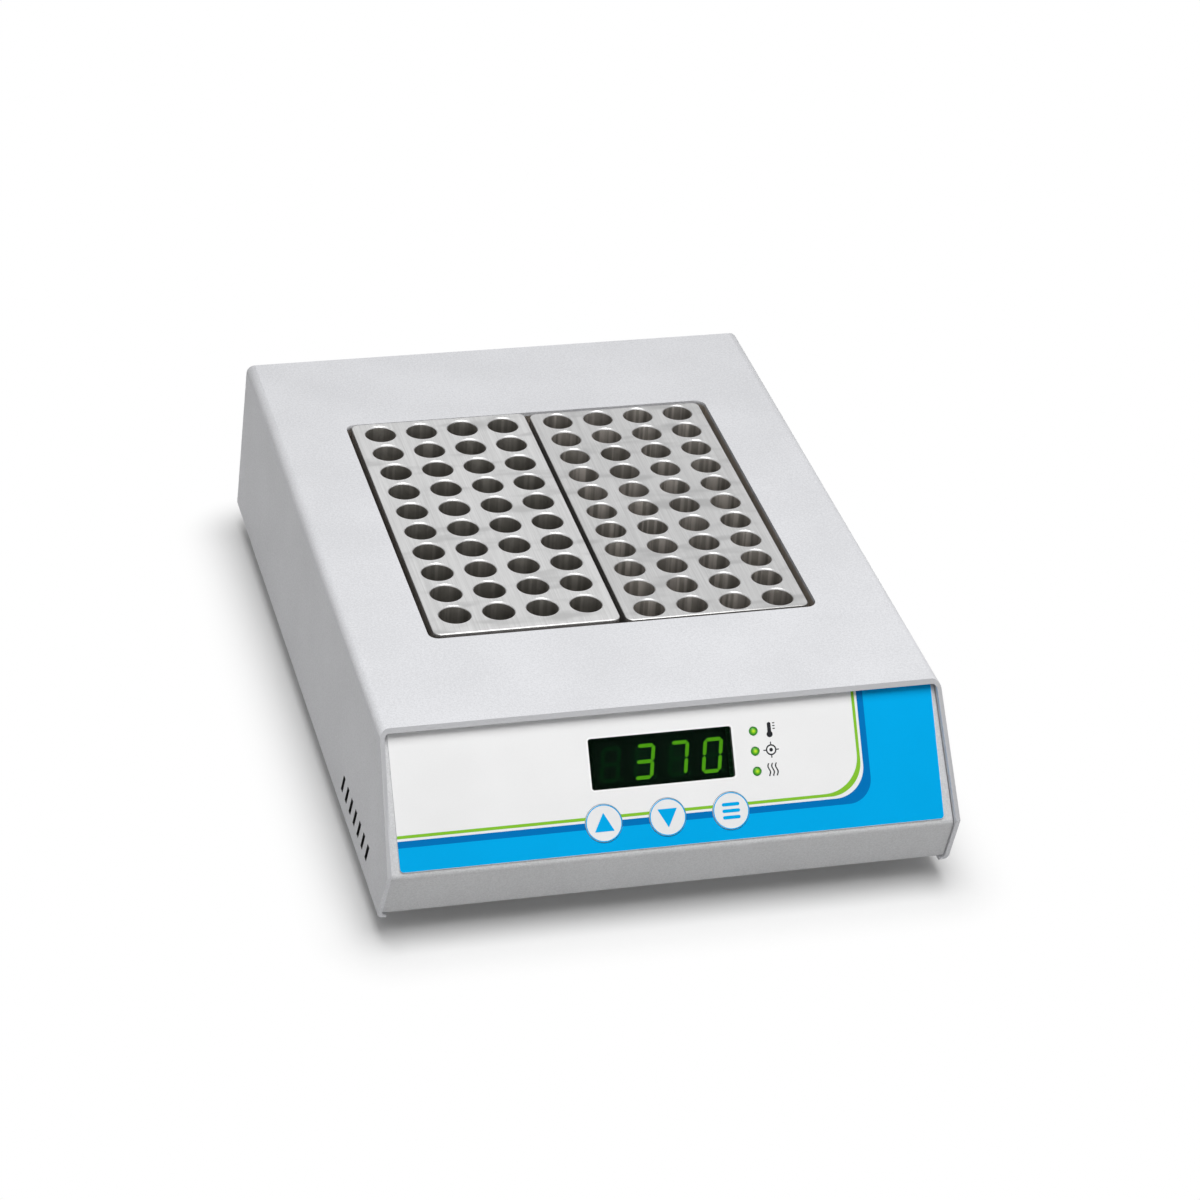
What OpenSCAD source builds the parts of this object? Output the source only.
// Bench-top dry bath incubator with two lift-out aluminium tube blocks and a sloping control panel.
// The origin is on the bench under the middle of the case: X to the right, the panel towards -Y, Z up.

/* [Case] */
// Width of the case along the edges of its deck
case_top_w = 209; // [200:1:230]
// How far each side leans out from the deck down to the bottom edge
side_splay = 3.5; // [2:0.5:5]
// Depth of the case from the nose of the panel to the back edge
case_d = 300; // [290:1:340]
// Clear height between the bench and the case
ground_gap = 8; // [6:0.5:14]
// Height of the nose above the bottom edge of the case
nose_h = 25; // [22:0.5:28]
// How far the nose stands in front of the deck's front edge
nose_reach = 31; // [28:1:34]
// How far the chin falls back from the nose to the bottom edge
chin_setback = 10; // [7:1:13]
// Thickness of the cover sheet
cover_t = 1.6; // [1.2:0.1:2]
// Thickness of the chassis sheet and of the rear panel
chassis_t = 1.5; // [1.2:0.1:2]
// Outer radius of the bends along the cover
cover_bend_r = 3.5; // [2.5:0.5:5]
// Radius of the lower corners of the cover's sides, seen from the side
cover_corner_r = 2; // [1:0.5:4]
// How far the cover's edge stands in front of the panel
panel_lip = 3; // [2:0.5:4]
// How far the cover's edge stands in front of the chin
chin_lip = 1; // [0.6:0.2:2]
// How far the rear panel is set in from the back edge
rear_recess = 5; // [4.5:0.5:8]
// Width of the cover's flanges under the chassis and of the sheets' other flanges
flange_w = 12; // [10:1:14]
// Gap between the cover's sides and the sheets inside it
sheet_gap = 0.3; // [0.1:0.1:0.5]

/* [Deck opening] */
// Width of the deck in front of the opening and behind it
deck_rim = 54.5; // [48:0.5:60]
// Gap between the left block and the left edge of the opening
left_gap = 2; // [1:0.5:4]
// Gap between the two blocks
middle_gap = 2.2; // [1:0.2:3]
// Gap between the right block and the right edge of the opening
right_gap = 2.8; // [1:0.2:5]
// Gap between the blocks and the front and back edges of the opening
end_gap = 1.4; // [0.6:0.2:2]
// Corner radius of the opening
opening_r = 4; // [3:0.5:6]

/* [Tube blocks] */
// Width of a block
block_w = 71; // [70:0.5:74]
// Height of the left block
block_h = 49.2; // [45:0.2:60]
// How much lower the right block stands than the left one
block_step = 0.8; // [0:0.2:3]
// How far the left block stands out of the deck
block_proud = 0.8; // [0.5:0.1:3]
// Corner radius of a block, seen from above
block_r = 3; // [2:0.5:4]
// Chamfer along the top edges of a block
block_chamfer = 0.6; // [0.3:0.1:1]
// Wells across a block
well_columns = 4; // [3:1:4]
// Distance between columns of wells
column_pitch = 16.7; // [15:0.1:16.8]
// Least solid metal between the end of a block and its first well
well_land = 1.3; // [1.2:0.1:4]
// Distance between rows in the left block
left_row_pitch = 15.1; // [14.5:0.05:15.5]
// Diameter of the wells in the left block
left_well_d = 12.5; // [11.5:0.1:13]
// How far the left block's wells are moved towards the back
left_well_shift = 2; // [0:0.5:2.5]
// Distance between rows in the right block
right_row_pitch = 14.25; // [13.5:0.05:14.3]
// Diameter of the wells in the right block
right_well_d = 12.1; // [11:0.1:12.5]
// Depth of the wells
well_depth = 44; // [38:1:46]
// Chamfer round the mouth of a well
well_chamfer = 0.45; // [0.2:0.05:0.6]

/* [Heating] */
// Thickness of the aluminium heater plate
plate_t = 5; // [4:0.5:8]
// Thickness of the silicone heater mat
mat_t = 1; // [0.8:0.1:2]
// Thickness of the insulating pad under the mat
pad_t = 4; // [3:0.5:8]
// Thickness of the liner sheet
liner_t = 1; // [0.8:0.1:1.5]
// Height of the spacers between the chassis and the liner
liner_lift = 5; // [4:0.5:10]
// Thickness of the blanket round the liner
blanket_t = 6; // [4:0.5:8]
// Gap round the heater plate, the mat and the pad
plate_gap = 1.5; // [1:0.5:3]
// Diameter of the temperature probe
probe_d = 3; // [2:0.2:3.4]
// Length of the temperature probe
probe_l = 46; // [42:1:60]

/* [Control panel] */
// Width of the label
label_w = 203; // [180:1:204]
// Thickness of the label
label_t = 0.5; // [0.3:0.1:0.8]
// Bare strip above and below the label
label_margin = 1.3; // [1:0.1:3]
// Corner radius of the label
label_r = 1.5; // [0.5:0.5:3]
// Width of the display window
window_w = 53.5; // [52:0.5:60]
// Height of the display window
window_h = 18.5; // [18:0.5:22]
// How far the middle of the window lies to the right of the panel's middle
window_x = -2.5; // [-6:0.5:6]
// How far the middle of the window lies below the deck's edge, along the panel
window_drop = 19.6; // [18:0.2:20.4]
// Diameter of a key
key_d = 13.6; // [12:0.2:14.6]
// Distance between keys
key_pitch = 23.7; // [20:0.1:26]
// How far the keys lie below the deck's edge, along the panel
key_drop = 40.8; // [40.6:0.1:42]
// How far the keys stand out of the label
key_proud = 0.4; // [0.2:0.1:0.8]
// How far a key travels
key_travel = 0.6; // [0.4:0.1:1]
// Diameter of a lamp
lamp_d = 3; // [2:0.2:4]
// Distance between lamps
lamp_pitch = 7.3; // [6:0.1:8]
// How far the lamps lie to the right of the window's middle
lamp_x = 35; // [33:0.5:40]
// How far the middle lamp lies below the deck's edge, along the panel
lamp_drop = 20.3; // [19:0.1:22]
// Height of the digits
digit_h = 14.2; // [12:0.2:15]
// Distance between digits
digit_pitch = 12.7; // [12:0.1:12.9]
// Gap between the front sheet and the control board
board_gap = 8.6; // [8:0.2:11]

/* [Side slots] */
// Number of slots in each side
slot_count = 7; // [3:1:9]
// Distance between slots
slot_pitch = 7.3; // [6.5:0.1:8]
// Width of a slot
slot_w = 2.8; // [2:0.1:3.5]
// Height of a slot
slot_h = 8; // [6:0.5:10]
// Lean of the slots from upright
slot_lean = 20; // [0:1:30]
// Height of the middle of the slots above the bottom edge
slot_z = 13.5; // [11:0.5:18]
// Distance from the deck's front edge back to the first slot
slot_start = 1; // [0:1:12]

/* [Feet] */
// Diameter of a foot
foot_d = 18; // [14:1:20]
// Distance of the feet from the ends of the case
foot_inset = 24; // [20:1:34]

/* [Mains inlet and switch] */
// Distance of the middle of the inlet from the right end of the deck
inlet_inset = 46.5; // [42:0.5:52]
// Height of the middle of the inlet above the bottom edge
inlet_z = 36; // [33:1:40]
// Gap between the switch and the inlet's flange
switch_gap = 9.75; // [6:0.25:14]
// Length of the rocker
rocker_l = 17; // [15:0.5:18]
// Width of the rocker
rocker_w = 11; // [9:0.5:12]
// Angle that the rocker tilts to each side
rocker_tilt = 8; // [6:1:10]

/* [Hidden] */

// Facets of every round edge
round = 48;
// Radial clearance of a screw or stud in its hole
screw_gap = 0.15;
// Overshoot of every cut past the face that it opens
over = 1;
// Radial clearance round the keys, the lamps and the window
panel_gap = 0.2;
// Clearance round the rocker, the drawer and the stems
slide_gap = 0.15;
// Radial clearance of the rocker on its pin
pin_gap = 0.08;
// Length of the reliefs at both ends of the cover's flanges
flange_relief = 8;

// Heights, from the bench upwards. The stack under the blocks sets the height of the case.
chassis_z = ground_gap + cover_t;
floor_z = chassis_z + chassis_t;
liner_z = floor_z + liner_lift;
pad_z = liner_z + liner_t;
mat_z = pad_z + pad_t;
plate_z = mat_z + mat_t;
block_z = plate_z + plate_t;
deck_z = block_z + block_h - block_proud;
case_h = deck_z - ground_gap;
deck_under_z = deck_z - cover_t;
right_block_h = block_h - block_step;

// As many rows of wells as fit in a block's length
function rows_in(pitch, d) = 1 + floor((block_d - 2 * well_land - d) / pitch);

// The case in plan
front_y = -case_d / 2;
back_y = case_d / 2;
deck_front_y = front_y + nose_reach;
deck_mid_y = (deck_front_y + back_y) / 2;
half_top = case_top_w / 2;
half_bottom = half_top + side_splay;
case_w = 2 * half_bottom;

// The opening in the deck
opening_w = left_gap + block_w + middle_gap + block_w + right_gap;
opening_d = case_d - nose_reach - 2 * deck_rim;
block_d = opening_d - 2 * end_gap;
left_block_x = -opening_w / 2 + left_gap + block_w / 2;
right_block_x = opening_w / 2 - right_gap - block_w / 2;
left_rows = rows_in(left_row_pitch, left_well_d);
right_rows = rows_in(right_row_pitch, right_well_d);
plate_w = opening_w - 2 * plate_gap;
plate_d = opening_d - 2 * plate_gap;
plate_r = max(opening_r - plate_gap, 1);

// The sloping panel
panel_tilt = atan2(nose_reach, case_h - nose_h);
panel_len = norm([nose_reach, case_h - nose_h]);
label_h = panel_len - 2 * label_margin;
key_u = [for (i = [-1 : 1]) window_x + i * key_pitch];
lamp_u = window_x + lamp_x;
lamp_v = [for (i = [-1 : 1]) lamp_drop + i * lamp_pitch];

// Fasteners: shank diameter, head diameter, head height
m3 = [2.8, 5.5, 2];
m4 = [3.8, 7.5, 2.6];

// Thin film that a board or display stands off its neighbour
film = 0.2;

// The keys and what is behind them
key_flange_t = 1;
key_flange_rim = 1.3;
key_flange_d = key_d + 2 * key_flange_rim;
key_stem_d = 3.4;
key_switch_w = 6;
key_switch_h = 4;
key_pin = [3.2, 2.2];
key_pin_d = 0.8;
stem_engagement = 1.5;

// The control board, behind the panel
board_w = 112;
board_margin = 4.5;
board_h = panel_len - 2 * board_margin;
board_t = 1.6;
board_v = panel_len / 2;
board_front = -chassis_t - board_gap;
board_back = board_front - board_t;
board_post_d = 6;
board_post_inset = 4.5;
board_post_u = board_w / 2 - board_post_inset;
board_post_v = board_h / 2 - board_post_inset;
display_w = 50.3;
display_h = 17.6;
display_front = -chassis_t - film;

// Transformer and heat sink on the power board
core_w = 35;
core_d = 22;
core_h = 29;
winding_w = 23;
winding_h = 17;
fins = 6;
fin_pitch = 4.4;
sink_w = fins * fin_pitch;

// The rear bay. The power board is as wide as what stands on it in a row, from left to right.
power_board_inset = 8;
power_post_inset = 4;
power_post_room = power_post_inset + m3[1] / 2;
transformer_room = 2.75;
ribbon_room = 1.5;
sink_room = 0.8;
terminal_room = 0.75;
terminal_overhang = 11.3;
connector_w = 20;
connector_d = 5;
connector_h = 6;
connector_edge = 1;
terminal_h = 10;
terminal_pitch = 5;
terminal_w = 3 * terminal_pitch;
power_row_w = transformer_room + core_w + ribbon_room + connector_w + sink_room + sink_w + terminal_overhang
    + terminal_room;
power_board_w = power_row_w + 2 * power_post_room;
power_board_x = -half_top + power_board_inset + power_board_w / 2;
transformer_x = -power_board_w / 2 + power_post_room + transformer_room + core_w / 2;
ribbon_socket_x = transformer_x + core_w / 2 + ribbon_room + connector_w / 2;
sink_x = ribbon_socket_x + connector_w / 2 + sink_room + sink_w / 2;
terminal_x = power_board_w / 2 - power_post_room - terminal_room - terminal_w / 2;
relay_w = 19;
relay_x = (sink_x - sink_w / 2 + terminal_x - terminal_w / 2) / 2;
blanket_gap = film;
liner_back_y = deck_mid_y + opening_d / 2 + liner_t;
blanket_back_y = liner_back_y + blanket_gap + blanket_t;
rear_face_y = back_y - rear_recess;
rear_inner_y = rear_face_y - chassis_t;
power_board_t = 1.6;
power_board_d = 28;
power_board_y = (blanket_back_y + rear_face_y - flange_w) / 2;
power_board_lift = 6;
power_board_z = floor_z + power_board_lift;
power_board_top = power_board_z + power_board_t;
ribbon_socket_y = -power_board_d / 2 + connector_edge + connector_d / 2;
terminal_y = 5.5;

// Mains inlet: a flange, a socket and a fuse drawer under it
inlet_body_w = 28;
inlet_body_h = 33;
inlet_body_d = 24;
inlet_flange_w = 50;
inlet_flange_t = 2.4;
inlet_screw_pitch = 40;
inlet_wall = 2;
socket_w = 24;
socket_h = 16.2;
socket_d = 15;
socket_corner = 5;
inlet_x = half_top - inlet_inset;
inlet_mid_z = ground_gap + inlet_z;
socket_z = inlet_mid_z + inlet_body_h / 2 - inlet_wall - socket_h / 2;
drawer_w = 24;
drawer_h = 8.4;
drawer_d = 22;
drawer_z = inlet_mid_z - inlet_body_h / 2 + inlet_wall + drawer_h / 2 + slide_gap;
fuse_d = 5;
fuse_l = 20;
fuse_pocket_z = drawer_z - 2.2;
blade_w = 2;
blade_h = 4;
blade_reach = 12;
blade_tail = 6;
blade_x = 7;
blade_drop = 1;
earth_blade_rise = 3;

// Rocker switch
switch_z = inlet_mid_z;
switch_wall = 1.6;
switch_frame = 2;
switch_x = inlet_x - inlet_flange_w / 2 - switch_gap - switch_body_w() / 2 - switch_frame;
switch_bezel_t = 1.8;
switch_depth = 16;
switch_tail = 6;
rocker_r = rocker_l / 2;
rocker_pivot_in = 1;
rocker_rise = 2.2;
pin_d = 2;

// Outlines run anticlockwise, and edge i goes from point i to point i + 1.
function unit(v) = v / norm(v);
function left_of(v) = [-v[1], v[0]];
function cross_z(a, b) = a[0] * b[1] - a[1] * b[0];
function crossing(a, u, b, v) = a + u * cross_z(b - a, v) / cross_z(u, v);

// The outline with each edge moved inwards by its own inset
function inset_outline(points, insets) = let (n = len(points)) [
    for (i = [0 : n - 1])
        let (
            before = (i + n - 1) % n,
            u = unit(points[i] - points[before]),
            v = unit(points[(i + 1) % n] - points[i])
        )
        crossing(points[i] + left_of(u) * insets[before], u, points[i] + left_of(v) * insets[i], v)
];

// The two tangent points and the centre of the arc that rounds corner i
function corner_arc(points, r, i) = let (
    n = len(points),
    back = unit(points[(i + n - 1) % n] - points[i]),
    on = unit(points[(i + 1) % n] - points[i]),
    half = acos(back * on) / 2
) [
    points[i] + back * r / tan(half), points[i] + on * r / tan(half), points[i] + unit(back + on) * r / sin(half)
];

// The case seen from its left: points are [y, z], and the edges are bottom, back, deck, panel and chin
side_outline = [
    [front_y + chin_setback, ground_gap], [back_y, ground_gap], [back_y, deck_z],
    [deck_front_y, deck_z], [front_y, ground_gap + nose_h]
];
// The case seen from the front: points are [x, z], and the edges are bottom, right, deck and left
front_outline = [
    [-half_bottom, ground_gap], [half_bottom, ground_gap], [half_top, deck_z], [-half_top, deck_z]
];

// A convex outline with an arc of its own radius at each corner
module rounded_outline(points, radii) {
    polygon([
        for (i = [0 : len(points) - 1])
            each radii[i] > 0
                ? [corner_arc(points, radii[i], i)[0], corner_arc(points, radii[i], i)[1]]
                : [points[i]]
    ]);
    for (i = [0 : len(points) - 1])
        if (radii[i] > 0)
            translate(corner_arc(points, radii[i], i)[2]) circle(r = radii[i], $fn = round);
}

module rounded_rectangle(w, h, r) {
    rounded_outline([[-w / 2, -h / 2], [w / 2, -h / 2], [w / 2, h / 2], [-w / 2, h / 2]], [r, r, r, r]);
}

// Turns a [y, z] outline into a solid across the case, and an [x, z] outline into one along it
module across(width) {
    rotate([90, 0, 90]) linear_extrude(width, center = true) children();
}

module along(depth) {
    rotate([90, 0, 0]) linear_extrude(depth, center = true) children();
}

// Puts a child on the front sheet: right u, down v from the deck's edge, out from the sheet's face
module on_panel(u = 0, v = 0, out = 0) {
    translate([0, deck_front_y, deck_z]) rotate([90 - panel_tilt, 0, 0]) translate([u, -v, out - panel_lip])
        children();
}

// Puts a child on the rear panel's outer face, with its own Z pointing backwards
module on_rear(x, z, out = 0) {
    translate([x, rear_face_y + out, z]) rotate([-90, 0, 0]) children();
}

// A wire through a few points, as straight eight-sided runs that lap at the bends
module wire(points, d) {
    last = len(points) - 1;
    for (i = [1 : last]) {
        u = unit(points[i] - points[i - 1]);
        from = points[i - 1] - u * (i > 1 ? d / 4 : 0);
        to = points[i] + u * (i < last ? d / 4 : 0);
        translate(from) rotate([0, acos(u[2]), atan2(u[1], u[0])]) rotate(22.5)
            cylinder(h = norm(to - from), d = d, $fn = 8);
    }
}

// A pan-head screw with its head on Z = 0 above a shank that points down
module pan_screw(size, shank) {
    translate([0, 0, -shank]) cylinder(h = shank + size[2] / 2, d = size[0], $fn = round);
    difference() {
        intersection() {
            cylinder(h = size[2], d = size[1], $fn = round);
            translate([0, 0, size[2] - size[1]]) sphere(r = size[1], $fn = round);
        }
        for (turn = [0, 90])
            rotate(turn) translate([0, 0, size[2]]) cube([size[1] * 0.55, size[1] * 0.13, size[2]], center = true);
    }
}

module screw_hole(size, depth) {
    translate([0, 0, -depth]) cylinder(h = depth + over, d = size[0] + 2 * screw_gap, $fn = round);
}

// A slab with round corners in plan and a chamfer round its top
module chamfered_slab(w, d, h, r, c) {
    along(d - 2 * r)
        polygon([[-w / 2, 0], [w / 2, 0], [w / 2, h - c], [w / 2 - c, h], [c - w / 2, h], [-w / 2, h - c]]);
    across(w - 2 * r)
        polygon([[-d / 2, 0], [d / 2, 0], [d / 2, h - c], [d / 2 - c, h], [c - d / 2, h], [-d / 2, h - c]]);
    for (x = [-1, 1], y = [-1, 1]) translate([x * (w / 2 - r), y * (d / 2 - r), 0]) {
        cylinder(h = h - c, r = r, $fn = round);
        translate([0, 0, h - c]) cylinder(h = c, r1 = r, r2 = r - c, $fn = round);
    }
}

// The case's cross-section, set in from its sides and from its top and bottom
module section(side, level, r) {
    rounded_outline(inset_outline(front_outline, [level, side, level, side]), [r, r, r, r]);
}

// The cover: deck and two leaning sides from one sheet, with flanges turned in under the chassis
module slot_outlines() {
    lean = slot_h * tan(slot_lean);
    for (i = [0 : slot_count - 1])
        translate([deck_front_y + slot_start + i * slot_pitch, ground_gap + slot_z])
            polygon([
                [-slot_w / 2 + lean / 2, -slot_h / 2], [slot_w / 2 + lean / 2, -slot_h / 2],
                [slot_w / 2 - lean / 2, slot_h / 2], [-slot_w / 2 - lean / 2, slot_h / 2]
            ]);
}

cover_screw_inset = 14;
cover_screw_x = half_bottom - flange_w / 2 - 1;
cover_screw_y = [
    front_y + chin_setback + cover_screw_inset, deck_mid_y, back_y - rear_recess - cover_screw_inset
];

module at_cover_screws() {
    for (x = [-1, 1], y = cover_screw_y)
        translate([x * cover_screw_x, y, ground_gap]) rotate([180, 0, 0]) children();
}

module top_cover() {
    color("gainsboro") difference() {
        intersection() {
            along(case_d) difference() {
                section(0, 0, cover_bend_r);
                section(cover_t, cover_t, cover_bend_r - cover_t);
                translate([flange_w - half_bottom, ground_gap - over])
                    square([case_w - 2 * flange_w, cover_t + 2 * over]);
            }
            across(case_w + over)
                rounded_outline(side_outline, [cover_corner_r, cover_corner_r, 0, 0, 0]);
        }
        for (y = [front_y, back_y - flange_relief])
            translate([cover_bend_r - half_bottom, y, ground_gap - over])
                cube([case_w - 2 * cover_bend_r, y < 0 ? chin_setback + flange_relief : case_d, cover_t + over]);
        translate([0, deck_mid_y, deck_under_z - over]) linear_extrude(cover_t + 2 * over)
            rounded_rectangle(opening_w, opening_d, opening_r);
        across(case_w + over) slot_outlines();
        at_cover_screws() screw_hole(m3, cover_t + over);
    }
}

// The chassis: floor, chin and sloping front from one sheet, with a flange under the deck
module inner_section() {
    section(cover_t + sheet_gap, cover_t, cover_bend_r - cover_t);
}

foot_room = 2;
foot_taper = 2;
foot_pocket = 4;
foot_x = half_bottom - flange_w - foot_d / 2 - foot_room;
foot_y = [front_y + chin_setback + foot_inset, back_y - foot_inset];
liner_post_inset = 12;
liner_post_x = opening_w / 2 - liner_post_inset;
liner_post_y = opening_d / 2 - liner_post_inset;

module chassis() {
    bend = chassis_t + 1;
    outer = inset_outline(side_outline, [cover_t, rear_recess, cover_t, panel_lip, chin_lip]);
    inner = inset_outline(outer, [chassis_t, chassis_t, chassis_t, chassis_t, chassis_t]);
    color("silver") difference() {
        intersection() {
            across(case_w) difference() {
                rounded_outline(outer, [bend, 0, 0, bend, bend]);
                rounded_outline(inner, [bend - chassis_t, 0, 0, bend - chassis_t, bend - chassis_t]);
                translate([deck_front_y + flange_w, floor_z]) square([case_d, case_h]);
            }
            along(case_d) inner_section();
        }
        on_panel(window_x, window_drop, -chassis_t - over) linear_extrude(chassis_t + 2 * over)
            rounded_rectangle(window_w, window_h, 1);
        for (u = key_u) on_panel(u, key_drop, -chassis_t - over)
            cylinder(h = chassis_t + 2 * over, d = key_d + 2 * panel_gap, $fn = round);
        for (v = lamp_v) on_panel(lamp_u, v, -chassis_t - over)
            cylinder(h = chassis_t + 2 * over, d = lamp_d + 2 * panel_gap, $fn = round);
        at_cover_screws() screw_hole(m3, cover_t + chassis_t + over);
        at_feet() cylinder(h = floor_z + over, d = m4[0] + 2 * screw_gap, $fn = round);
        at_rear_panel_screws() screw_hole(m3, chassis_t + over);
        at_liner_screws() screw_hole(m3, chassis_t + over);
    }
}

// The rear panel: an upright sheet with a flange on the floor and one under the deck
rear_screw_inset = [24, 16];
rear_screw_middle_x = -12;
rear_screw_x = [rear_screw_inset[0] - half_top, rear_screw_middle_x, half_top - rear_screw_inset[1]];

module at_rear_panel_screws() {
    for (x = rear_screw_x) translate([x, rear_inner_y - flange_w / 2, chassis_z]) rotate([180, 0, 0]) children();
}

module rear_panel() {
    bend = chassis_t + 1;
    rear_outline = [
        [rear_face_y - flange_w, floor_z], [rear_face_y, floor_z],
        [rear_face_y, deck_under_z], [rear_face_y - flange_w, deck_under_z]
    ];
    color("silver") difference() {
        intersection() {
            across(case_w) difference() {
                rounded_outline(rear_outline, [0, bend, bend, 0]);
                rounded_outline(
                    inset_outline(rear_outline, [chassis_t, chassis_t, chassis_t, -over]),
                    [0, bend - chassis_t, bend - chassis_t, 0]
                );
            }
            along(case_d) inner_section();
        }
        on_rear(inlet_x, inlet_mid_z, -chassis_t - over) linear_extrude(chassis_t + 2 * over)
            square([inlet_body_w + 2 * slide_gap, inlet_body_h + 2 * slide_gap], center = true);
        at_inlet_screws() screw_hole(m3, inlet_flange_t + chassis_t + over);
        on_rear(switch_x, switch_z, -chassis_t - over) linear_extrude(chassis_t + 2 * over)
            square([switch_body_w() + 2 * slide_gap, switch_body_l() + 2 * slide_gap], center = true);
        on_rear(earth_x, inlet_mid_z) screw_hole(m4, chassis_t + over);
        translate([0, 0, chassis_t]) at_rear_panel_screws() screw_hole(m3, chassis_t + over);
    }
}

// A rubber foot, with a pocket for the screw head
module at_feet() {
    for (x = [-foot_x, foot_x], y = foot_y) translate([x, y, 0]) children();
}

module foot(x, y) {
    rim = 1;
    color("dimgray") translate([x, y, 0]) difference() {
        rotate_extrude($fn = round) polygon([
            [0, 0], [foot_d / 2 - foot_taper, 0], [foot_d / 2, chassis_z - rim], [foot_d / 2, chassis_z],
            [0, chassis_z]
        ]);
        translate([0, 0, -over]) cylinder(h = foot_pocket + over, d = m4[1] + 1.5, $fn = round);
        cylinder(h = chassis_z + over, d = m4[0] + 2 * screw_gap, $fn = round);
    }
}

module foot_screws() {
    color("lightgray") at_feet() {
        translate([0, 0, foot_pocket]) rotate([180, 0, 0]) pan_screw(m4, floor_z - foot_pocket + 4);
        translate([0, 0, floor_z]) difference() {
            cylinder(h = 3, d = 7.7, $fn = 6);
            translate([0, 0, -over]) cylinder(h = 3 + 2 * over, d = m4[0] + 2 * screw_gap, $fn = round);
        }
    }
}

module cover_screws() {
    color("lightgray") at_cover_screws() pan_screw(m3, cover_t + chassis_t + 2);
}

module rear_panel_screws() {
    color("lightgray") at_rear_panel_screws() pan_screw(m3, 2 * chassis_t + 2);
}

// The label, the display window and the display behind it
module front_label() {
    color("whitesmoke") on_panel(0, panel_len / 2) difference() {
        linear_extrude(label_t) rounded_rectangle(label_w, label_h, label_r);
        translate([window_x, panel_len / 2 - window_drop, -over]) linear_extrude(label_t + 2 * over)
            rounded_rectangle(window_w, window_h, 1);
        for (u = key_u) translate([u, panel_len / 2 - key_drop, -over])
            cylinder(h = label_t + 2 * over, d = key_d + 2 * panel_gap, $fn = round);
        for (v = lamp_v) translate([lamp_u, panel_len / 2 - v, -over])
            cylinder(h = label_t + 2 * over, d = lamp_d + 2 * panel_gap, $fn = round);
    }
}

module display_window() {
    color("darkslategray") on_panel(window_x, window_drop, -chassis_t) linear_extrude(chassis_t + label_t)
        rounded_rectangle(window_w - 2 * film, window_h - 2 * film, 1 - film);
}

// Seven segments of a digit, each [centre x, centre y, 1 if it stands upright], in the order a to g
digit_w = digit_h * 0.52;
segment_w = digit_h * 0.115;
segment_t = 0.15;
digit_lean = 0.12;
segments = [
    [0, digit_h / 2 - segment_w / 2, 0],
    [digit_w / 2, digit_h / 4 - segment_w / 4, 1],
    [digit_w / 2, segment_w / 4 - digit_h / 4, 1],
    [0, segment_w / 2 - digit_h / 2, 0],
    [-digit_w / 2, segment_w / 4 - digit_h / 4, 1],
    [-digit_w / 2, digit_h / 4 - segment_w / 4, 1],
    [0, 0, 0]
];
// The segments that each of the four digits lights: a blank, then 3, 7 and 0
lit = [[], [0, 1, 2, 3, 6], [0, 1, 2], [0, 1, 2, 3, 4, 5]];

module segment(s) {
    long = s[2] == 1 ? digit_h / 2 - segment_w * 0.75 : digit_w - segment_w * 0.4;
    w = segment_w / 2;
    translate([s[0] + digit_lean * s[1], s[1]]) rotate(s[2] == 1 ? 90 - atan(digit_lean) : 0)
        polygon([
            [-long / 2, 0], [w - long / 2, -w], [long / 2 - w, -w],
            [long / 2, 0], [long / 2 - w, w], [w - long / 2, w]
        ]);
}

module at_digit(i) {
    on_panel(window_x + (i - 1.5) * digit_pitch, window_drop, display_front) children();
}

module display_module() {
    color("black") difference() {
        on_panel(window_x, window_drop, board_front) linear_extrude(display_front - board_front)
            square([display_w, display_h], center = true);
        for (i = [0 : 3]) at_digit(i) translate([0, 0, -segment_t]) linear_extrude(segment_t + over)
            for (s = segments) segment(s);
    }
}

module lit_segments() {
    color("limegreen") for (i = [0 : 3]) at_digit(i) translate([0, 0, -segment_t]) linear_extrude(segment_t)
        for (k = lit[i]) segment(segments[k]);
}

// The keys: a round cap with a flange behind the sheet and a stem into its switch
module key(u) {
    stem_end = board_front + key_switch_h - stem_engagement;
    back = -chassis_t - film / 2;
    color("white") on_panel(u, key_drop) {
        translate([0, 0, back]) cylinder(h = label_t + key_proud - back - 0.3, d = key_d, $fn = round);
        translate([0, 0, label_t + key_proud - 0.3])
            cylinder(h = 0.3, d1 = key_d, d2 = key_d - 0.6, $fn = round);
        translate([0, 0, back - key_flange_t]) cylinder(h = key_flange_t, d = key_flange_d, $fn = round);
        translate([0, 0, stem_end]) cylinder(h = back - key_flange_t - stem_end, d = key_stem_d, $fn = round);
    }
}

module up_key() {
    key(key_u[0]);
}

module down_key() {
    key(key_u[1]);
}

module mode_key() {
    key(key_u[2]);
}

module key_switches() {
    bore = stem_engagement + key_travel + 0.3;
    color("darkgray") for (u = key_u) on_panel(u, key_drop, board_front) difference() {
        union() {
            translate([0, 0, key_switch_h / 2]) cube([key_switch_w, key_switch_w, key_switch_h], center = true);
            for (x = [-1, 1], y = [-1, 1])
                translate([x * key_pin[0], y * key_pin[1], -board_t - over])
                    cylinder(h = board_t + over + key_switch_h / 2, d = key_pin_d, $fn = 16);
        }
        translate([0, 0, key_switch_h - bore])
            cylinder(h = bore + over, d = key_stem_d + 2 * slide_gap, $fn = round);
    }
}

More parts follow.
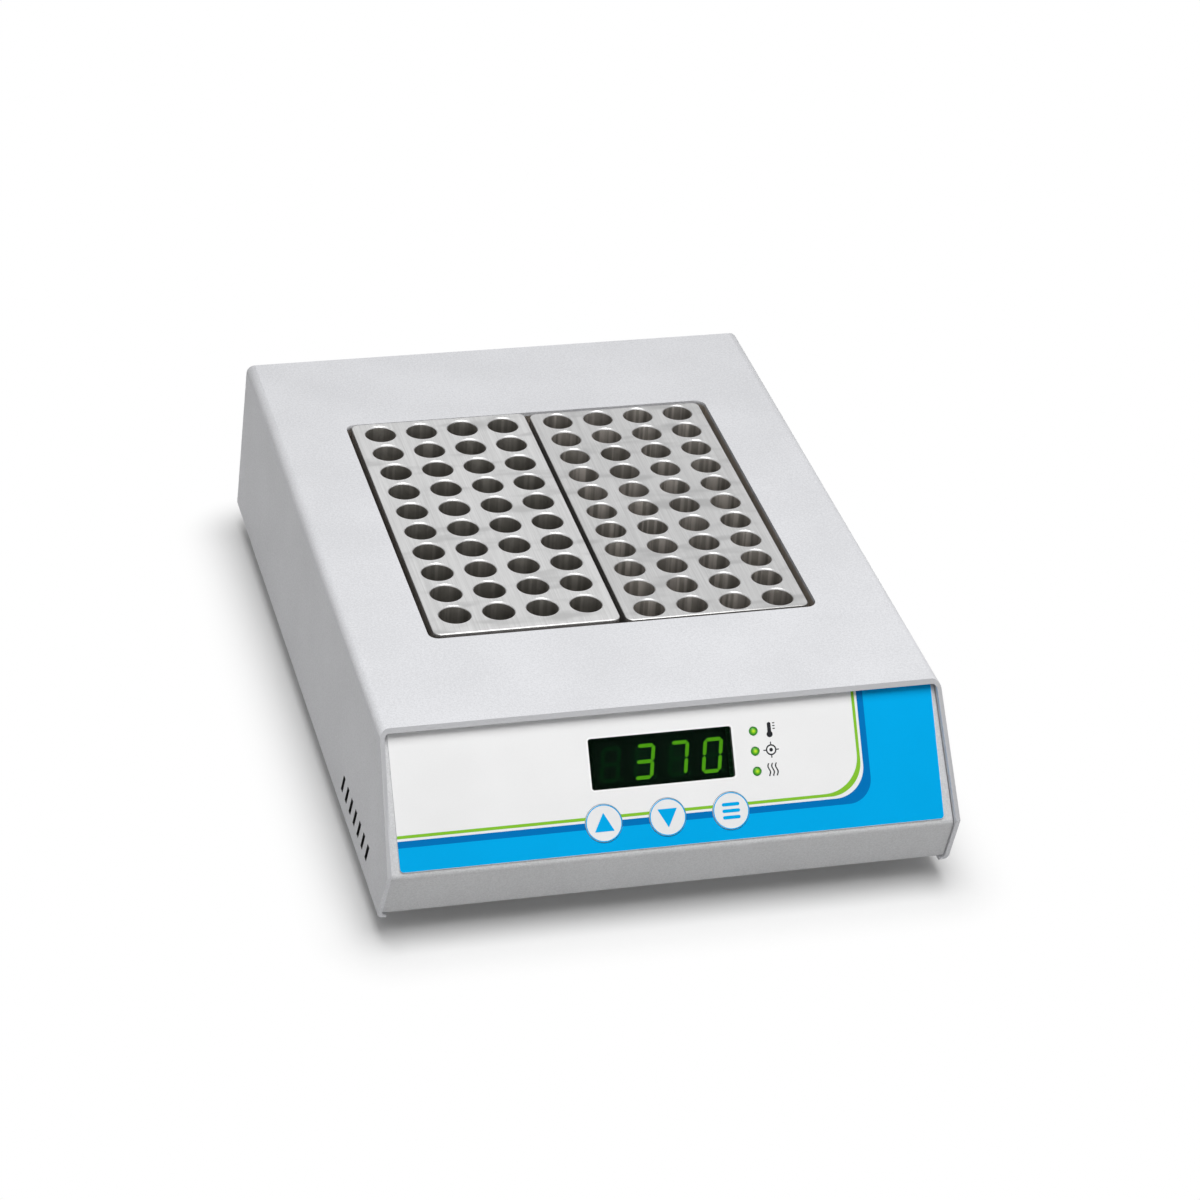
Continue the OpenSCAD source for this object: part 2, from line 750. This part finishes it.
module indicator_lamps() {
    lamp_top = label_t + 0.4;
    color("lime") for (v = lamp_v) on_panel(lamp_u, v) {
        translate([0, 0, board_front]) cylinder(h = 1, d = lamp_d + 0.8, $fn = round);
        translate([0, 0, board_front]) cylinder(h = lamp_top - board_front - 0.8, d = lamp_d, $fn = round);
        translate([0, 0, lamp_top - 0.8]) intersection() {
            cylinder(h = 0.8, d = lamp_d, $fn = round);
            translate([0, 0, 0.8 - lamp_d * 0.75]) sphere(r = lamp_d * 0.75, $fn = round);
        }
    }
}

module at_board_posts() {
    for (x = [-1, 1], y = [-1, 1])
        on_panel(window_x + x * board_post_u, board_v + y * board_post_v, board_front) children();
}

module control_board() {
    color("darkgreen") difference() {
        on_panel(window_x, board_v, board_back) linear_extrude(board_t) rounded_rectangle(board_w, board_h, 1.5);
        at_board_posts() screw_hole(m3, board_t + over);
        for (u = key_u, x = [-1, 1], y = [-1, 1])
            on_panel(u + x * key_pin[0], key_drop + y * key_pin[1], board_back - over)
                cylinder(h = board_t + 2 * over, d = key_pin_d + 2 * screw_gap, $fn = 16);
    }
}

module board_spacers() {
    color("lightgray") difference() {
        at_board_posts() cylinder(h = board_gap, d = board_post_d, $fn = round);
        at_board_posts() translate([0, 0, -over])
            cylinder(h = board_gap, d = m3[0] + 2 * screw_gap, $fn = round);
    }
}

module board_screws() {
    color("lightgray") at_board_posts() translate([0, 0, -board_t]) rotate([180, 0, 0])
        pan_screw(m3, board_t + 5);
}

// Chips, a buffer capacitor, a crystal and the ribbon's header on the back of the control board
header_u = power_board_x + ribbon_socket_x - window_x;
chip = [12, 12, 1.6];
chip_at = [-6, 2];
driver = [8, 10, 2];
driver_at = [12, 4];
regulator = [5, 8, 2];
regulator_at = [35, 4];
crystal = [11, 4.5, 3];
crystal_at = [7, -11];
buffer_d = 8;
buffer_h = 9;
buffer_at = [24, -7];

module on_board(at, size) {
    translate([at[0], at[1], size[2] / 2]) cube(size, center = true);
}

module board_parts() {
    on_panel(window_x, board_v, board_back) rotate([180, 0, 0]) {
        color("dimgray") on_board(chip_at, chip);
        color("dimgray") on_board(driver_at, driver);
        color("dimgray") on_board(regulator_at, regulator);
        color("silver") on_board(crystal_at, crystal);
        color("navy") translate(buffer_at) cylinder(h = buffer_h, d = buffer_d, $fn = round);
        color("ivory") on_board([header_u, 0], [connector_w, connector_d, connector_h]);
    }
}

// The tube blocks
module well_block(h, rows, row_pitch, d, shift) {
    difference() {
        chamfered_slab(block_w, block_d, h, block_r, block_chamfer);
        for (i = [0 : well_columns - 1], j = [0 : rows - 1])
            translate([
                (i - (well_columns - 1) / 2) * column_pitch, shift + (j - (rows - 1) / 2) * row_pitch, h - well_depth
            ]) {
                cylinder(h = well_depth + over, d = d, $fn = round);
                translate([0, 0, well_depth - well_chamfer])
                    cylinder(h = well_chamfer + over, d1 = d, d2 = d + 2 * (well_chamfer + over), $fn = round);
            }
    }
}

module left_block() {
    color("silver") translate([left_block_x, deck_mid_y, block_z])
        well_block(block_h, left_rows, left_row_pitch, left_well_d, left_well_shift);
}

module right_block() {
    color("silver") translate([right_block_x, deck_mid_y, block_z])
        well_block(right_block_h, right_rows, right_row_pitch, right_well_d, 0);
}

// The heated bed under the blocks, in its sheet liner
module bed_layer(z, t) {
    translate([0, deck_mid_y, z]) linear_extrude(t) rounded_rectangle(plate_w, plate_d, plate_r);
}

probe_z = plate_z + plate_t / 2;
probe_reach = 26;
probe_tip_y = deck_mid_y - plate_d / 2 + probe_reach;
probe_x = 20;
probe_boot_l = 8;
probe_boot_step = 0.3;

module probe_bore(gap) {
    translate([probe_x, probe_tip_y + gap, probe_z]) rotate([90, 0, 0])
        cylinder(h = probe_l + 2 * gap, d = probe_d + 2 * gap, $fn = round);
}

module heater_plate() {
    color("silver") difference() {
        bed_layer(plate_z, plate_t);
        probe_bore(screw_gap);
    }
}

module heater_mat() {
    color("orangered") bed_layer(mat_z, mat_t);
}

module insulating_pad() {
    color("ivory") bed_layer(pad_z, pad_t);
}

module at_liner_posts() {
    for (x = [-1, 1], y = [-1, 1]) translate([x * liner_post_x, deck_mid_y + y * liner_post_y, floor_z]) children();
}

lead_d = 2.4;
lead_x = [for (i = [0, 1]) power_board_x + terminal_x + i * terminal_pitch];
lead_y = deck_mid_y + plate_d / 2 + film;
lead_z = mat_z + mat_t / 2;

module lead_holes() {
    for (x = lead_x) translate([x, blanket_back_y + over, lead_z])
        rotate([90, 0, 0]) cylinder(h = blanket_back_y + over - lead_y, d = lead_d + 1.6, $fn = round);
}

// Screws up through the chassis and the spacers into the liner's floor
module at_liner_screws() {
    at_liner_posts() translate([0, 0, -chassis_t]) rotate([180, 0, 0]) children();
}

module liner_screws() {
    color("lightgray") at_liner_screws() pan_screw(m3, pad_z - chassis_z);
}

module well_liner() {
    color("rosybrown") difference() {
        translate([0, deck_mid_y, liner_z]) linear_extrude(deck_under_z - liner_z)
            rounded_rectangle(opening_w + 2 * liner_t, opening_d + 2 * liner_t, opening_r + liner_t);
        translate([0, deck_mid_y, pad_z]) linear_extrude(deck_z)
            rounded_rectangle(opening_w, opening_d, opening_r);
        probe_bore(1);
        lead_holes();
        at_liner_screws() screw_hole(m3, pad_z - chassis_z + over);
    }
}

module liner_spacers() {
    color("lightgray") at_liner_posts() difference() {
        cylinder(h = liner_lift, d = 8, $fn = round);
        translate([0, 0, -over])
            cylinder(h = liner_lift + 2 * over, d = m3[0] + 2 * screw_gap, $fn = round);
    }
}

// The blanket wrapped round the liner leaves room for the thermal cut-out
cutout_x = 0;
cutout_z = block_z + 12;
cutout_d = 16;
cutout_body_h = 8;
cutout_plate_w = 24;
cutout_plate_t = 1.5;
cutout_room = 2;
cutout_tab = [0.8, 6.3, 5];
cutout_tab_x = 4;

module insulating_blanket() {
    inner_w = opening_w + 2 * (liner_t + blanket_gap);
    inner_d = opening_d + 2 * (liner_t + blanket_gap);
    color("white") difference() {
        translate([0, deck_mid_y, liner_z]) linear_extrude(deck_under_z - 3 - liner_z) difference() {
            rounded_rectangle(inner_w + 2 * blanket_t, inner_d + 2 * blanket_t, opening_r + blanket_t);
            rounded_rectangle(inner_w, inner_d, opening_r + liner_t);
        }
        translate([cutout_x, deck_mid_y - opening_d / 2, cutout_z])
            cube([
                cutout_plate_w + 2 * cutout_room, 2 * (liner_t + blanket_gap + blanket_t + over),
                cutout_d + 2 * cutout_room
            ], center = true);
        probe_bore(1);
        lead_holes();
    }
}

module temperature_probe() {
    color("gainsboro") probe_bore(0);
    color("black") translate([probe_x, probe_tip_y - probe_l, probe_z]) rotate([90, 0, 0])
        cylinder(h = probe_boot_l, d = probe_d - 2 * probe_boot_step, $fn = round);
}

module thermal_cutout() {
    front = deck_mid_y - opening_d / 2 - liner_t;
    color("black") translate([cutout_x, front, cutout_z]) rotate([90, 0, 0]) {
        translate([0, 0, cutout_plate_t]) cylinder(h = cutout_body_h, d = cutout_d, $fn = round);
        linear_extrude(cutout_plate_t) rounded_rectangle(cutout_plate_w, cutout_d, 2);
        for (x = [-1, 1])
            translate([x * cutout_tab_x, 0, cutout_plate_t + cutout_body_h + cutout_tab[2] / 2 - over])
                cube(cutout_tab, center = true);
    }
}

// The power board in the rear bay and what stands on it
module power_board() {
    color("darkgreen") translate([power_board_x, power_board_y, power_board_z]) difference() {
        linear_extrude(power_board_t) rounded_rectangle(power_board_w, power_board_d, 1.5);
        at_power_posts() translate([0, 0, -over])
            cylinder(h = power_board_t + 2 * over, d = m3[0] + 2 * screw_gap, $fn = round);
    }
}

module at_power_posts() {
    for (x = [-1, 1], y = [-1, 1])
        translate([x * (power_board_w / 2 - power_post_inset), y * (power_board_d / 2 - power_post_inset), 0])
            children();
}

module power_board_spacers() {
    color("lightgray") translate([power_board_x, power_board_y, power_board_z]) at_power_posts() {
        translate([0, 0, -power_board_lift]) cylinder(h = power_board_lift, d = 5, $fn = round);
        translate([0, 0, -over]) cylinder(h = over + power_board_t, d = m3[0], $fn = round);
        translate([0, 0, power_board_t]) cylinder(h = m3[2], d = m3[1], $fn = round);
    }
}

module on_power_board(x, y) {
    translate([power_board_x + x, power_board_y + y, power_board_top]) children();
}

module power_transformer() {
    leg = (core_w - winding_w) / 2;
    yoke = (core_h - winding_h) / 2;
    color("slategray") on_power_board(transformer_x, 0) across_core() difference() {
        square([core_w, core_h]);
        translate([leg, yoke]) square([winding_w, winding_h]);
    }
}

module across_core() {
    translate([-core_w / 2, core_d / 2, 0]) rotate([90, 0, 0]) linear_extrude(core_d) children();
}

module transformer_winding() {
    yoke = (core_h - winding_h) / 2;
    color("goldenrod") on_power_board(transformer_x, 0) translate([0, 0, yoke + film])
        linear_extrude(winding_h - 2 * film)
            rounded_rectangle(winding_w - 2 * film, core_d + 4, 3);
}

sink_y = -8;
sink_h = 25;
sink_base = 2.4;
fin = [1.2, 8];
triac = [10, 4, 15];
triac_rise = 2.5;

module triac_heat_sink() {
    color("gray") on_power_board(sink_x, sink_y) {
        translate([0, 0, sink_h / 2]) cube([sink_w, sink_base, sink_h], center = true);
        for (i = [0 : fins - 1])
            translate([(i - (fins - 1) / 2) * fin_pitch, (sink_base + fin[1]) / 2 - film, sink_h / 2])
                cube([fin[0], fin[1], sink_h], center = true);
    }
    color("black") on_power_board(sink_x, sink_y - (sink_base + triac[1]) / 2)
        translate([0, 0, triac_rise + triac[2] / 2]) cube(triac, center = true);
}

module power_relay() {
    relay_y = 8;
    relay_d = 12;
    relay_h = 14;
    color("royalblue") on_power_board(relay_x, relay_y) translate([0, 0, relay_h / 2])
        cube([relay_w, relay_d, relay_h], center = true);
}

module terminal_block() {
    terminal_d = 8;
    clamp_d = 3.4;
    clamp_depth = 2;
    color("seagreen") on_power_board(terminal_x, terminal_y) difference() {
        translate([0, 0, terminal_h / 2]) cube([terminal_w, terminal_d, terminal_h], center = true);
        for (i = [-1 : 1]) translate([i * terminal_pitch, 0, terminal_h - clamp_depth])
            cylinder(h = clamp_depth + over, d = clamp_d, $fn = round);
    }
}

module ribbon_socket() {
    color("ivory") on_power_board(ribbon_socket_x, ribbon_socket_y) translate([0, 0, connector_h / 2])
        cube([connector_w, connector_d, connector_h], center = true);
}

// Mains inlet with its socket and fuse drawer
module socket_outline() {
    w = socket_w / 2;
    h = socket_h / 2;
    polygon([
        [-w, -h], [w, -h], [w, h - socket_corner], [w - socket_corner, h],
        [socket_corner - w, h], [-w, h - socket_corner]
    ]);
}

module at_inlet_screws() {
    for (x = [-1, 1]) on_rear(inlet_x + x * inlet_screw_pitch / 2, inlet_mid_z, inlet_flange_t) children();
}

module blades() {
    for (p = [[-blade_x, -blade_drop], [blade_x, -blade_drop], [0, earth_blade_rise]])
        translate([p[0], p[1], 0]) children();
}

module power_inlet() {
    color("black") difference() {
        union() {
            on_rear(inlet_x, inlet_mid_z, -inlet_body_d) linear_extrude(inlet_body_d + inlet_flange_t)
                square([inlet_body_w, inlet_body_h], center = true);
            on_rear(inlet_x, inlet_mid_z) linear_extrude(inlet_flange_t)
                rounded_rectangle(inlet_flange_w, inlet_body_h, 6);
        }
        on_rear(inlet_x, socket_z, inlet_flange_t - socket_d) mirror([0, 1, 0]) linear_extrude(socket_d + over)
            socket_outline();
        on_rear(inlet_x, drawer_z, inlet_flange_t - drawer_d - slide_gap)
            linear_extrude(drawer_d + slide_gap + over)
                square([drawer_w + 2 * slide_gap, drawer_h + 2 * slide_gap], center = true);
        at_inlet_screws() screw_hole(m3, inlet_flange_t + over);
        on_rear(inlet_x, socket_z, -inlet_body_d - over) mirror([0, 1, 0]) blades()
            linear_extrude(inlet_body_d) square([blade_w, blade_h], center = true);
    }
}

module inlet_pins() {
    color("gold") on_rear(inlet_x, socket_z, -inlet_body_d - blade_tail) mirror([0, 1, 0]) blades()
        linear_extrude(blade_tail + inlet_body_d + inlet_flange_t - socket_d + blade_reach)
            square([blade_w, blade_h], center = true);
}

module fuse_drawer() {
    grip = 0.8;
    color("black") difference() {
        union() {
            on_rear(inlet_x, drawer_z, inlet_flange_t - drawer_d) linear_extrude(drawer_d)
                square([drawer_w, drawer_h], center = true);
            on_rear(inlet_x, drawer_z - 2.4, inlet_flange_t) linear_extrude(grip)
                square([drawer_w * 0.6, 1.4], center = true);
        }
        on_rear(inlet_x, fuse_pocket_z + drawer_h / 2, inlet_flange_t - drawer_d / 2)
            cube([fuse_l + 1, drawer_h, drawer_d - 12], center = true);
    }
}

module fuse() {
    color("lightgray")
        translate([inlet_x - fuse_l / 2, rear_face_y + inlet_flange_t - drawer_d / 2, fuse_pocket_z + fuse_d / 2])
            rotate([0, 90, 0]) cylinder(h = fuse_l, d = fuse_d, $fn = round);
}

module inlet_screws() {
    color("lightgray") at_inlet_screws() pan_screw(m3, inlet_flange_t + chassis_t + 4);
}

earth_room = 9;
earth_x = inlet_x + inlet_flange_w / 2 + earth_room;

module earth_stud() {
    color("goldenrod") {
        on_rear(earth_x, inlet_mid_z) pan_screw(m4, chassis_t + 12);
        on_rear(earth_x, inlet_mid_z, -chassis_t - 3) difference() {
            cylinder(h = 3, d = 7.7, $fn = 6);
            translate([0, 0, -over]) cylinder(h = 3 + 2 * over, d = m4[0] + 2 * screw_gap, $fn = round);
        }
    }
}

// Rocker switch: the rocker turns about a pin across the housing
function switch_body_w() = rocker_w + 2 * (switch_wall + slide_gap);
function switch_body_l() = rocker_l + 2 * (switch_wall + slide_gap);
pivot_out = switch_bezel_t - rocker_pivot_in;

module switch_housing() {
    color("black") on_rear(switch_x, switch_z) difference() {
        union() {
            translate([0, 0, -switch_depth]) linear_extrude(switch_depth + switch_bezel_t)
                square([switch_body_w(), switch_body_l()], center = true);
            linear_extrude(switch_bezel_t)
                rounded_rectangle(switch_body_w() + 2 * switch_frame, switch_body_l() + 2 * switch_frame, 1.5);
            for (y = [-1, 1]) translate([-0.4, y * 5 - 2.4, -switch_depth - switch_tail])
                cube([0.8, 4.8, switch_tail + 1]);
        }
        translate([0, 0, -9]) linear_extrude(9 + switch_bezel_t + over)
            square([rocker_w + 2 * slide_gap, rocker_l + 2 * slide_gap], center = true);
        translate([0, 0, pivot_out]) rotate([0, 90, 0])
            cylinder(h = switch_body_w() + over, d = pin_d, center = true, $fn = round);
    }
}

// The rocker's side view: round ends about the pivot, two faces that meet over it, and a tapered tail
module rocker_outline() {
    dip = 0.9;
    intersection() {
        circle(r = rocker_r, $fn = round);
        polygon([
            [-rocker_l, rocker_rise + 2 * dip], [0, rocker_rise - dip], [rocker_l, rocker_rise + 2 * dip],
            [rocker_l, -1], [3, -6], [-3, -6], [-rocker_l, -1]
        ]);
    }
}

module power_rocker() {
    color("dimgray") on_rear(switch_x, switch_z, pivot_out) rotate([rocker_tilt, 0, 0]) difference() {
        rotate([90, 0, 90]) linear_extrude(rocker_w, center = true) rocker_outline();
        rotate([0, 90, 0]) cylinder(h = rocker_w + over, d = pin_d + 2 * pin_gap, center = true, $fn = round);
    }
}

module rocker_pin() {
    color("silver") on_rear(switch_x, switch_z, pivot_out) rotate([0, 90, 0])
        cylinder(h = switch_body_w(), d = pin_d, center = true, $fn = round);
}

// Wires inside the case
wire_d = 2.2;
terminal_top = power_board_top + terminal_h;
tail_y = rear_face_y - inlet_body_d - blade_tail;

// One wire from the inlet to the switch, and one to the power board
module mains_wires() {
    start_y = tail_y - wire_d / 2 - film;
    switch_y = rear_face_y - switch_depth - switch_tail - wire_d / 2 - film;
    neutral_x = power_board_x + terminal_x - terminal_pitch;
    terminal_line_y = power_board_y + terminal_y;
    color("saddlebrown") wire([
        [inlet_x - blade_x, start_y, socket_z + 1], [inlet_x - blade_x - 8, start_y - 4, socket_z + 6],
        [switch_x + 12, switch_y - 4, switch_z + 8], [switch_x, switch_y, switch_z + 5]
    ], wire_d);
    color("steelblue") wire([
        [inlet_x + blade_x, start_y, socket_z + 1], [inlet_x + blade_x, start_y - 4, socket_z - 14],
        [neutral_x + 14, start_y - 4, terminal_top + 14], [neutral_x, terminal_line_y, terminal_top + 11],
        [neutral_x, terminal_line_y, terminal_top + film]
    ], wire_d);
}

module heater_leads() {
    terminal_line_y = power_board_y + terminal_y;
    color("firebrick") for (x = lead_x)
        wire([
            [x, lead_y, lead_z], [x, blanket_back_y + 4, lead_z],
            [x, terminal_line_y - 4, terminal_top + 7], [x, terminal_line_y, terminal_top + 5],
            [x, terminal_line_y, terminal_top + film]
        ], lead_d);
}

// The ribbon runs from the control board down to the floor and under the liner to the power board
ribbon_w = 16;
ribbon_t = 0.6;

// A strip of even thickness along a flat path, square at its ends and lapping at its bends
module strip(points, t) {
    last = len(points) - 1;
    for (i = [1 : last]) {
        run = points[i] - points[i - 1];
        before = i > 1 ? t / 2 : 0;
        after = i < last ? t / 2 : 0;
        translate(points[i - 1]) rotate(atan2(run[1], run[0])) translate([-before, -t / 2])
            square([before + norm(run) + after, t]);
    }
}

module ribbon_cable() {
    depth = chassis_t + board_gap + board_t + connector_h + panel_lip + film;
    header_y = deck_front_y - board_v * sin(panel_tilt) + depth * cos(panel_tilt);
    header_z = deck_z - board_v * cos(panel_tilt) - depth * sin(panel_tilt);
    low = floor_z + film + ribbon_t / 2;
    rise_y = (blanket_back_y + power_board_y - power_board_d / 2) / 2;
    socket_front_y = power_board_y + ribbon_socket_y - connector_d / 2 - film;
    color("lightsteelblue") translate([power_board_x + ribbon_socket_x, 0, 0]) across(ribbon_w)
        strip([
            [header_y, header_z], [header_y + 5, header_z - 4], [header_y + 5, low], [rise_y, low],
            [rise_y, power_board_top + 3], [socket_front_y, power_board_top + 3]
        ], ribbon_t);
}

top_cover();
chassis();
rear_panel();
foot(-foot_x, foot_y[0]);  // foot_front_left
foot(foot_x, foot_y[0]);  // foot_front_right
foot(-foot_x, foot_y[1]);  // foot_rear_left
foot(foot_x, foot_y[1]);  // foot_rear_right
front_label();
display_window();
display_module();
lit_segments();
up_key();
down_key();
mode_key();
key_switches();
indicator_lamps();
control_board();
board_spacers();
board_screws();
board_parts();
left_block();
right_block();
heater_plate();
heater_mat();
insulating_pad();
well_liner();
liner_spacers();
liner_screws();
insulating_blanket();
temperature_probe();
thermal_cutout();
power_board();
power_board_spacers();
power_transformer();
transformer_winding();
triac_heat_sink();
power_relay();
terminal_block();
ribbon_socket();
power_inlet();
inlet_pins();
fuse_drawer();
fuse();
switch_housing();
power_rocker();
rocker_pin();
earth_stud();
cover_screws();
foot_screws();
inlet_screws();
rear_panel_screws();
ribbon_cable();
mains_wires();
heater_leads();
